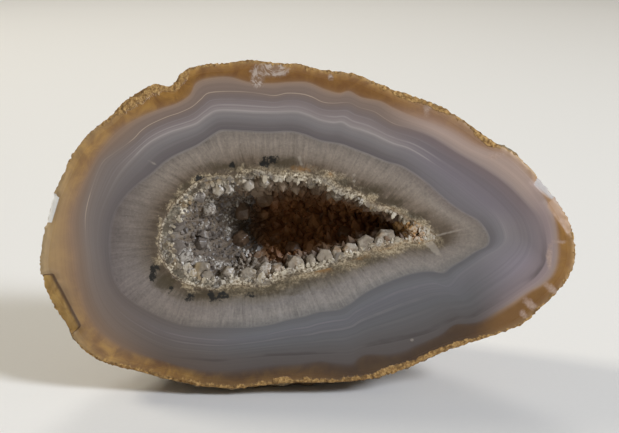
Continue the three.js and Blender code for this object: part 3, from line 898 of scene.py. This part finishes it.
def makeRindMaterial():
    material, shader = newMaterial("geodeRind")
    place = facePlace()
    medium = speckle(place, 0.28, 5, 0.65)
    fine = speckle(place, 1.4, 4, 0.7)
    colour = twoTone(speckle(place, 0.055, 4, 0.6, 0.4), rind["base"])
    colour = wash(colour, rind["pale"], between(medium, 0.5, 0.68), 0.6)
    colour = wash(colour, rind["olive"], between(speckle(place, 0.09, 3, 0.6, 0.8), 0.52, 0.66), 0.55)
    cells = put("ShaderNodeTexVoronoi", Vector=place, Scale=0.2).outputs["Distance"]
    pits = between(plus(cells, times(medium, 0.35)), 0.42, 0.22)
    colour = wash(colour, rind["pit"], pits, 0.3)
    colour = wash(colour, rind["chalk"], between(speckle(place, 0.13, 4, 0.65, 1.2), 0.58, 0.68), 0.6)
    colour = tone(1.0, colour, plus(sway(fine, 1.1), 1.0), "MULTIPLY")
    nearRim = between(plus(attribute("edgeFar"), times(medium, 6.0)), -0.5, 3.0)
    colour = wash(colour, twoTone(fine, polish["crust"]), nearRim)
    relief = minus(plus(fine, times(medium, 1.5)), pits)
    return dress(material, shader, colour, rind["roughness"], relief, 0.8, 0.6)


def makeHollowMaterial():
    material, shader = newMaterial("hollowWall")
    grains = speckle(facePlace(), 0.9, 4, 0.7)
    return dress(material, shader, twoTone(grains, wall["colours"]), wall["roughness"], grains, 0.6, 0.5)


# the druse that lines the hollow
druse = {
    "columns": 460,
    "rooted": 0.3,               # how far the crust reaches into the wall
    "ringRows": 3,               # rows of the sawn ring that shows in the face
    "ragSeed": 7,
    "downs": [0, 0.03, 0.07, 0.12, 0.18, 0.25, 0.33, 0.41, 0.5, 0.6, 0.7, 0.8, 0.88, 0.94, 0.98, 1],
    "crystalSeed": 41,
    "tipSeed": 12,
    "tipSpacing": 0.62,
    "tries": 90000,              # spots that are tried for the scattered crystals
    "cell": 2.2,                 # side of the cells that near crystals are looked up in
    "lipDown": 0.16,             # how far down the wall the crystals of the lip reach
    "spacingLip": 0.62,
    "spacingWall": 0.9,
    "spacingDeep": 1.6,
}

# dark and light colour, stain and its share, share of white sugar, roughness
quartzFinishes = {
    "lipDruse": {"colours": ((112, 98, 80), (194, 181, 157)), "stain": (148, 118, 74), "stained": 0.55,
                 "sugar": 0.6, "roughness": 0.45},
    "leftDruse": {"colours": ((82, 72, 63), (120, 110, 100)), "stain": (106, 90, 72), "stained": 0.4,
                  "sugar": 0.8, "roughness": 0.52},
    "deepDruse": {"colours": ((92, 68, 46), (116, 92, 68)), "stain": (112, 68, 34), "stained": 0.35,
                  "sugar": 0.0, "roughness": 0.6},
    "tipDruse": {"colours": ((120, 100, 74), (186, 168, 138)), "stain": (168, 118, 58), "stained": 0.75,
                 "sugar": 0.4, "roughness": 0.45},
    "druseCrust": {"colours": ((78, 64, 50), (116, 102, 84)), "stain": (102, 80, 54), "stained": 0.4,
                   "sugar": 0.2, "roughness": 0.55},
    "lipCrystal": {"colours": ((120, 106, 90), (172, 158, 138)), "stain": (156, 114, 62), "stained": 0.6,
                   "sugar": 0.35, "roughness": 0.4},
    "floorCrystal": {"colours": ((104, 92, 78), (170, 157, 138)), "stain": (150, 124, 76), "stained": 0.5,
                     "sugar": 0.5, "roughness": 0.4},
    "deepCrystal": {"colours": ((88, 68, 50), (112, 92, 72)), "stain": (104, 74, 48), "stained": 0.2,
                    "sugar": 0.0, "roughness": 0.4},
    "leftCrystal": {"colours": ((86, 76, 68), (124, 114, 104)), "stain": (124, 106, 84), "stained": 0.3,
                    "sugar": 0.5, "roughness": 0.3},
}

quartz = {
    "bend": 1.54,                # how strongly the crystals bend light
    # painted light: paler warm colours for deep in the hollow, standing in for light that doesn't reach there
    "warm": ((150, 94, 46), (190, 132, 78)),
    "frosted": ((92, 82, 70), (164, 152, 134)),
    # painted light: the upper wall of the hollow, paler as if lit through the thin quartz
    "high": (136, 118, 98),
    "golden": (176, 126, 60),
    "sugar": (214, 206, 192),
    "cream": ((124, 106, 80), (216, 203, 178)),
    "dullCream": (116, 106, 94),
    "outer": ((84, 68, 46), (178, 160, 130)),
    "ringGold": (158, 124, 76),
    "bare": (74, 60, 42),
}


def makeQuartzMaterial(name):
    finish = quartzFinishes[name]
    material, shader = newMaterial(name)
    place = facePlace()
    x, depth, height = axes(place)
    clouds = speckle(place, 0.35, 4, 0.6)
    grains = speckle(place, 1.6, 3, 0.6)
    mixed = plus(times(clouds, 0.7), times(grains, 0.3))
    if name.endswith("Druse"):
        mixed = plus(times(mixed, 0.72), times(attribute("tint"), 0.28))
    colour = twoTone(mixed, finish["colours"], 0.3, 0.72)
    stain = between(speckle(place, 0.16, 4, 0.6, 0.5), 0.48, 0.66)
    colour = wash(colour, finish["stain"], stain, finish["stained"])
    if name in ("deepDruse", "deepCrystal", "druseCrust"):
        # painted light: deeper in the hollow the colour is made paler and warmer, standing in for light that
        # doesn't reach there
        colour = wash(colour, twoTone(mixed, quartz["warm"], 0.3, 0.7), between(depth, 7.0, 19.0),
                      between(x, -17.0, -6.0), 0.25 if name == "deepCrystal" else 0.85)
        if name == "deepDruse":
            colour = wash(colour, twoTone(grains, quartz["frosted"]), between(depth, 12.0, 6.0),
                          between(height, 46.0, 40.0), between(x, 5.0, -3.0), 0.85)
        # painted light: the upper wall of the hollow made paler grey-beige, standing in for light through the
        # thin quartz
        high = between(scaled(clouds, 5.0, height), 45.0, 52.0)
        colour = wash(colour, quartz["high"], high, 0.75)
    if name == "tipDruse":
        colour = wash(colour, quartz["golden"], between(x, 29.5, 26.0), 0.6)
    if finish["sugar"]:
        patches = between(speckle(place, 0.15, 4, 0.65, 0.6), 0.5, 0.58)
        colour = wash(colour, quartz["sugar"], patches, between(grains, 0.4, 0.55), finish["sugar"])
    if name == "druseCrust":
        shallow = between(plus(depth, times(clouds, 2.0)), 3.4, 1.2)
        colour = wash(colour, sawnRingTone(place, x, grains), shallow)
    shader.inputs["IOR"].default_value = quartz["bend"]
    return dress(material, shader, colour, finish["roughness"], grains, 0.25, 0.2)


def sawnRingTone(place, x, grains):
    crumbs = minus(speckle(place, 0.8, 4, 0.7), 0.5)
    inwards = plus(attribute("ridge"), times(crumbs, 1.6))
    creamy = between(speckle(place, 0.11, 3, 0.5), 0.4, 0.56)
    cream = tone(creamy, shade(*quartz["dullCream"]), twoTone(grains, quartz["cream"], 0.38, 0.62))
    colour = tone(between(inwards, 0.2, 0.9), twoTone(grains, quartz["outer"], 0.36, 0.64), cream)
    colour = wash(colour, quartz["ringGold"], between(scaled(crumbs, 22.0, x), 6.0, 24.0), 0.3)
    clumps = between(speckle(place, 0.3, 3, 0.6), 0.36, 0.5)
    return wash(colour, quartz["bare"], minus(1.0, clumps), between(inwards, 0.9, 0.3), 0.75)


faceOut = np.array([0, -math.cos(stance["lean"]), math.sin(stance["lean"])])


def behindFace(points, least):
    foot = placed(0, 0, 0)
    depth = -((points - foot) @ faceOut)
    return points - faceOut * np.maximum(least - depth, 0)[..., None]


def ragged(around, down):
    rng = np.random.default_rng(druse["ragSeed"])
    value = np.zeros(np.shape(around))
    for turns in (7, 11, 17, 23, 31, 43, 59, 83, 109):
        value = value + np.sin(2 * math.pi * (turns * around + rng.random()) + down * rng.uniform(2, 9))
    return value / 3


def makeDruseCrust():
    downs = np.array(druse["downs"])
    last = len(downs) - 1
    columns = druse["columns"]
    crust, column, row = sheetObject("druseCrust", columns, 2 * last + 1 + druse["ringRows"])
    around = column / columns % 1
    inside = row <= last                       # the face of the crust that looks into the hollow
    down = downs[np.where(inside, last - row, np.maximum(row - last - 1 - druse["ringRows"], 0))]
    uneven = 0.78 + 0.42 * ragged(around, down) * np.clip(1 - down / 0.22, 0, 1)
    thick = crustThickness(around) * np.where(down < 0.99, uneven, 0.8)
    ridge = np.clip((last + druse["ringRows"] + 1 - row) / (druse["ringRows"] + 1), 0, 1)
    distance = -druse["rooted"] + (druse["rooted"] + hollow["gap"] + thick) * ridge
    points = offWall(around, down, distance)
    floorSpot = hollowPoint(np.zeros(1), np.ones(1))
    atFloor = down > 0.995
    floorGap = np.where(inside, hollow["gap"] + hollow["crust"] * 0.8, -druse["rooted"])
    points[atFloor] = (floorSpot + faceOut * floorGap[:, None])[atFloor]
    setPlaces(crust, behindFace(points, 0.06))
    crust.data.materials.append(makeQuartzMaterial("druseCrust"))
    group = crust.vertex_groups.new(name="grains")
    group.add(np.nonzero((ridge > 0.5) & (down < 0.99))[0].tolist(), 1, "REPLACE")
    addAttribute(crust, "ridge", "FLOAT", ridge)
    closeSheet(crust)
    roughen(crust, "crustLumps", "CLOUDS", 1.1, 1.0, "grains")
    applyModifiers(crust)
    setPlaces(crust, behindFace(readPlaces(crust), 0.06))
    return crust


def modelCrystal():
    bpy.ops.object.select_all(action="DESELECT")
    bpy.ops.mesh.primitive_cylinder_add(vertices=6, radius=1, depth=1, location=(0, 0, 0))
    crystal = bpy.context.object
    for polygon in crystal.data.polygons:
        polygon.select = polygon.normal.z > 0.9
    for edge in crystal.data.edges:
        edge.select = False
    for vertex in crystal.data.vertices:
        vertex.select = vertex.co.z > 0
    bpy.ops.object.mode_set(mode="EDIT")
    bpy.ops.mesh.select_mode(type="FACE")
    bpy.ops.mesh.extrude_region_move(TRANSFORM_OT_translate={"value": (0, 0, 1)})
    bpy.ops.mesh.merge(type="CENTER")
    bpy.ops.object.mode_set(mode="OBJECT")
    corners = np.array([vertex.co[:] for vertex in crystal.data.vertices])
    faces = [tuple(polygon.vertices) for polygon in crystal.data.polygons]
    bpy.data.objects.remove(crystal)
    return corners, faces


def scatter(rng):
    count = druse["tries"]
    around = rng.random(count)
    down = rng.random(count) ** 0.8
    spots = hollowPoint(around, down)
    spacing = np.where(down < druse["lipDown"], druse["spacingLip"],
                       np.where(spots[:, 0] < -14, druse["spacingWall"], druse["spacingDeep"]))
    spacing = spacing * rng.uniform(0.75, 1.3, count)
    spacing = spacing * np.where(down < druse["lipDown"], rng.uniform(0.9, 1.7, count), 1)
    taken = {}
    kept = []
    cells = np.floor(spots / druse["cell"]).astype(int).tolist()
    spots = spots.tolist()
    for k, (i, j, m) in enumerate(cells):
        nearCells = (taken.get((i + a, j + b, m + c), ()) for a, b, c in product((-1, 0, 1), repeat=3))
        if all(math.dist(spots[other], spots[k]) >= 0.5 * (spacing[k] + spacing[other])
               for cell in nearCells for other in cell):
            taken.setdefault((i, j, m), []).append(k)
            kept.append(k)
    kept = np.array(kept)
    return around[kept], down[kept], spacing[kept]


def growCrystals(name, around, down, spacing, rng, model):
    count = len(around)
    normal = hollowNormal(around, down)
    tilt = rng.normal(size=(count, 3)) * (0.3 if name == "deepDruse" else 0.42)
    root = offWall(around, down, hollow["gap"] + crustThickness(around) * 0.55)
    return buildCrystals(name, root, normal + tilt, spacing, rng, model)


def buildCrystals(name, root, axis, spacing, rng, model):
    corners, faces = model
    count = len(root)
    axis = axis / np.linalg.norm(axis, axis=1, keepdims=True)
    helper = np.where(np.abs(axis[:, :1]) < 0.8, [[1.0, 0, 0]], [[0, 0, 1.0]])
    across = np.cross(axis, helper)
    across /= np.linalg.norm(across, axis=1, keepdims=True)
    other = np.cross(axis, across)
    spin = rng.uniform(0, 2 * math.pi, count)[:, None]
    first = across * np.cos(spin) + other * np.sin(spin)
    second = other * np.cos(spin) - across * np.sin(spin)
    radius = spacing * rng.uniform(0.42, 0.72, count)
    shaft = radius * rng.uniform(0.7, 2.4, count) * (0.6 if name == "leftDruse" else 1)
    tip = radius * rng.uniform(0.9, 1.45, count)
    stretch = rng.uniform(0.75, 1.25, (count, 2))
    shift = rng.uniform(-0.45, 0.45, (count, 2))

    points = np.zeros((count, len(corners), 3))
    for k, corner in enumerate(corners):
        top = corner[2] > 0.6
        flatX = corner[0] * stretch[:, 0] + (shift[:, 0] if top else 0)
        flatY = corner[1] * stretch[:, 1] + (shift[:, 1] if top else 0)
        up = np.where(corner[2] > 0, shaft, 0) + (tip if top else 0)
        offset = first * (flatX * radius)[:, None] + second * (flatY * radius)[:, None]
        points[:, k] = root + offset + axis * up[:, None]
    points = behindFace(points, 0.03)

    mesh = bpy.data.meshes.new(name)
    allFaces = [tuple(i + k * len(corners) for i in face) for k in range(count) for face in faces]
    mesh.from_pydata((points.reshape(-1, 3) * mm).tolist(), [], allFaces)
    druseObject = bpy.data.objects.new(name, mesh)
    bpy.context.scene.collection.objects.link(druseObject)
    addAttribute(druseObject, "tint", "FLOAT", np.repeat(rng.random(count), len(corners)))
    mesh.materials.append(makeQuartzMaterial(name))
    closeSheet(druseObject)
    print(name, count, "crystals")
    return druseObject


def insideLip(x, height):
    loop = closedCurve(lipPoints, np.arange(400) / 400)
    after = np.roll(loop, -1, axis=0)
    spans = (loop[:, 1] > height[:, None]) != (after[:, 1] > height[:, None])
    rise = np.where(after[:, 1] == loop[:, 1], 1, after[:, 1] - loop[:, 1])
    cut = loop[:, 0] + (height[:, None] - loop[:, 1]) / rise * (after[:, 0] - loop[:, 0])
    return (spans & (x[:, None] < cut)).sum(axis=1) % 2 == 1


def makeTipDruse(model):
    rng = np.random.default_rng(druse["tipSeed"])
    x = rng.uniform(22.0, 31.0, 4000)
    height = rng.uniform(35.4, 43.6, 4000)
    good = insideLip(x, height)
    x, height = x[good], height[good]
    kept = []
    for k in range(len(x)):
        if all(math.hypot(x[k] - x[j], height[k] - height[j]) > druse["tipSpacing"] for j in kept):
            kept.append(k)
    x, height = x[kept], height[kept]
    depth = 0.9 + np.maximum(26.5 - x, 0) * 1.1 + rng.uniform(0, 0.5, len(x))
    axis = faceOut + np.array([-0.35, 0, 0.1]) + rng.normal(size=(len(x), 3)) * 0.35
    return buildCrystals("tipDruse", placed(x, depth, height), axis, np.full(len(x), 1.15), rng, model)


def makeDruse():
    rng = np.random.default_rng(druse["crystalSeed"])
    model = modelCrystal()
    around, down, spacing = scatter(rng)
    x = hollowPoint(around, down)[:, 0]
    edge = -15 + 3 * np.sin(down * 14)
    zones = {
        "lipDruse": down < druse["lipDown"],
        "leftDruse": (down >= druse["lipDown"]) & (x < edge),
        "deepDruse": (down >= druse["lipDown"]) & (x >= edge),
    }
    pieces = []
    for name, zone in zones.items():
        pieces.append(growCrystals(name, around[zone], down[zone], spacing[zone], rng, model))
    return pieces + [makeTipDruse(model)]


# the lumpy surface of the single crystals, in mm
frost = {
    "voxel": 0.24,
    "lumps": 0.5,
    "lumpGrain": 2.4,
    "facets": 0.16,
    "facetGrain": 0.7,
}


def frostCrystal(node, material):
    crystal = bpy.data.objects.new(node.name + "_frosted", node.data.copy())
    crystal.data.name = crystal.name
    bpy.context.scene.collection.objects.link(crystal)
    closeSheet(crystal)
    crystal.data.materials.clear()
    crystal.data.materials.append(material)
    remesh = crystal.modifiers.new("even", "REMESH")
    remesh.mode = "VOXEL"
    remesh.voxel_size = frost["voxel"] * mm
    roughen(crystal, node.name + "Lumps", "CLOUDS", frost["lumpGrain"], frost["lumps"], "")
    roughen(crystal, node.name + "Grain", "VORONOI", frost["facetGrain"], frost["facets"], "")
    applyModifiers(crystal)
    setPlaces(crystal, behindFace(readPlaces(crystal), 0.02))
    smoothBelow(crystal, 32)
    return crystal


agateStone = makeAgate()
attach(agateStone, "root")
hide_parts("agate_stone")

druseCrust = makeDruseCrust()
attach(druseCrust, "root")
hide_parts("quartz_druse")
print("druse crust:", len(druseCrust.data.vertices), "points")

for druseZone in makeDruse():
    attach(druseZone, "root")

crystalKinds = {
    "lower_lip": "lipCrystal",
    "floor_lip": "floorCrystal",
    "upper_lip": "floorCrystal",
    "left_wall": "leftCrystal",
    "deep_crystal": "deepCrystal",
}
crystalMaterials = {kind: makeQuartzMaterial(kind) for kind in sorted(set(crystalKinds.values()))}
for nodeName, node in list(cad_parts.items()):
    for start, kind in crystalKinds.items():
        if nodeName.startswith(start):
            frosted = frostCrystal(node, crystalMaterials[kind])
            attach(frosted, "root")
            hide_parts(nodeName)
print("crystals finished")


studio = {
    "floorColour": (230, 227, 221),
    "floorHalf": 4000,
    "aim": (0.4, 42.45),         # the spot of the face that the camera looks at, mm
    "distance": 292.5,
    "elevation": 13,
    "lens": 70,
    "sky": 1.0,
    "skyBehind": (0.70, 0.68, 0.63, 1),
    "skyInFront": (0.26, 0.245, 0.22, 1),
    "skyAbove": (0.17, 0.157, 0.135, 1),
    "coolRight": {"place": (1650, -950, 1150), "size": 520, "power": 51.0, "colour": (0.80, 0.87, 1.0)},
    "warmLeft": {"place": (-1650, 620, 1300), "size": 520, "power": 21.0, "colour": (1.0, 0.96, 0.85)},
    "backTop": {"place": (-200, 2300, 1700), "size": 900, "power": 17.5, "colour": (1.0, 0.98, 0.94)},
}


def makeFloor():
    bpy.ops.object.select_all(action="DESELECT")
    bpy.ops.mesh.primitive_plane_add(size=2 * studio["floorHalf"] * mm, location=(0, 0, 0))
    floor = bpy.context.object
    floor.name = "floor"
    material, shader = newMaterial("paleFloor")
    dark = [c - 3 for c in studio["floorColour"]]
    grain = speckle(objectPlace(), 900.0, 2)
    fill(shader.inputs["Base Color"], tone(grain, shade(*dark), shade(*studio["floorColour"])))
    shader.inputs["Roughness"].default_value = 0.7
    floor.data.materials.append(material)


def addLight(name):
    settings = studio[name]
    light = bpy.data.lights.new(name, "AREA")
    light.energy = settings["power"]
    light.size = settings["size"] * mm
    light.color = settings["colour"]
    lamp = bpy.data.objects.new(name, light)
    bpy.context.scene.collection.objects.link(lamp)
    lamp.location = Vector(settings["place"]) * mm
    aim = Vector((0, 0, 30)) * mm - lamp.location
    lamp.rotation_euler = aim.to_track_quat("-Z", "Y").to_euler()


makeFloor()
for lampName in ("coolRight", "warmLeft", "backTop"):
    addLight(lampName)

world = bpy.data.worlds.new("softSky")
world.use_nodes = True
work["tree"] = world.node_tree
skyWay = axes(put("ShaderNodeTexCoord").outputs["Generated"])
skyLow = tone(between(skyWay[1], -0.1, -0.7), studio["skyBehind"], studio["skyInFront"])
background = world.node_tree.nodes["Background"]
fill(background.inputs[0], tone(between(skyWay[2], 0.08, 0.45), skyLow, studio["skyAbove"]))
background.inputs[1].default_value = studio["sky"]
bpy.context.scene.world = world

camera = bpy.data.objects.new("camera", bpy.data.cameras.new("camera"))
bpy.context.scene.collection.objects.link(camera)
camera.data.lens = studio["lens"]
camera.data.sensor_width = 36
camera.data.clip_start = 0.01
aimSpot = Vector(placed(studio["aim"][0], 0, studio["aim"][1])) * mm
rise = math.radians(studio["elevation"])
camera.location = aimSpot + Vector((0, -math.cos(rise), math.sin(rise))) * studio["distance"] * mm
camera.rotation_euler = (aimSpot - camera.location).to_track_quat("-Z", "Y").to_euler()
bpy.context.scene.camera = camera
print("studio ready")
